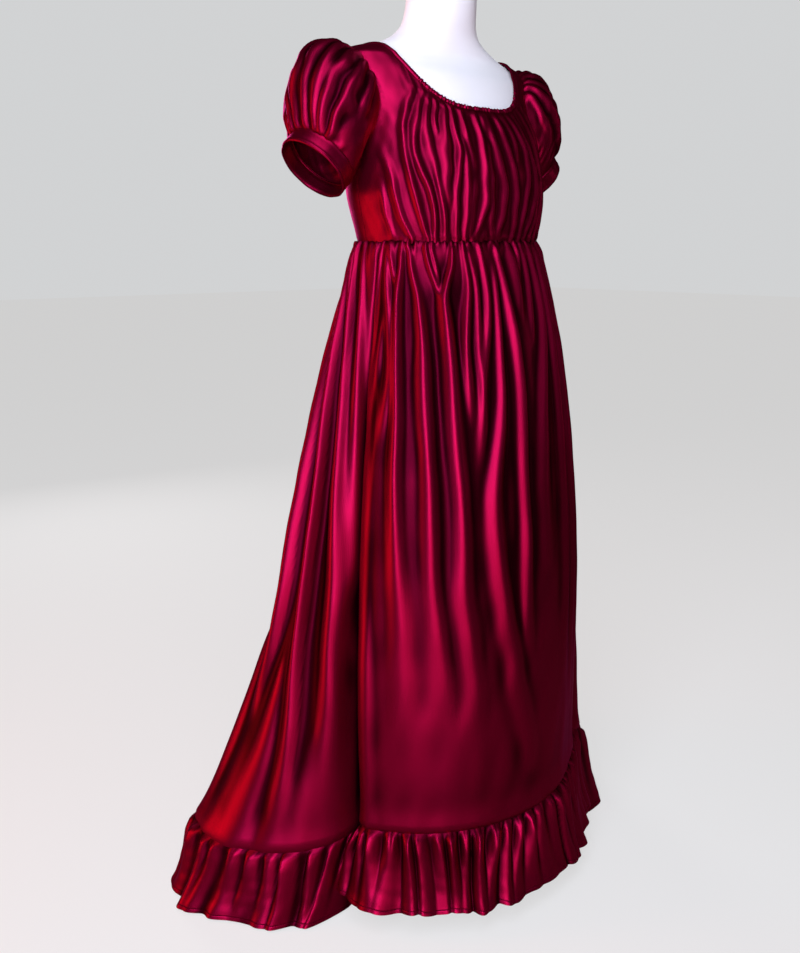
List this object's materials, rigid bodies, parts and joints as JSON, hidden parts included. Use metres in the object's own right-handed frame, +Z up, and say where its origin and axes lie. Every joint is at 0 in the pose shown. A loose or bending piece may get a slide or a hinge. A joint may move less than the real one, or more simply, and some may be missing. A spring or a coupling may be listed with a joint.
{
  "type": "regency gown on a dress form",
  "caption": "Crimson satin regency gown with puff sleeves, gathered bodice, train and flounced hem, standing on a white limbless dress form.",
  "frame": {"origin": "centre of the stand base's underside, on the floor", "axes": "+Z up, the gown faces -Y, +X is the wearer's left, the train runs back to +Y"},
  "size_m": [0.9083, 0.8767, 1.5123],
  "materials": {
    "satin": "glossy crimson satin with a magenta sheen",
    "form_cover": "smooth matte cool white jersey cover",
    "stand_metal": "semi-matt black"
  },
  "bodies": {
    "root": {"bodice_front": "satin", "bodice_back": "satin", "neck_casing": "satin", "sleeve_left": "satin", "sleeve_right": "satin", "cuff_left": "satin", "cuff_right": "satin", "skirt_front": "satin", "skirt_back": "satin", "flounce_front": "satin", "flounce_back": "satin", "form_torso": "form_cover", "form_neck_cap": "form_cover", "stand_pole": "stand_metal", "stand_base": "stand_metal"}
  },
  "joints": []
}
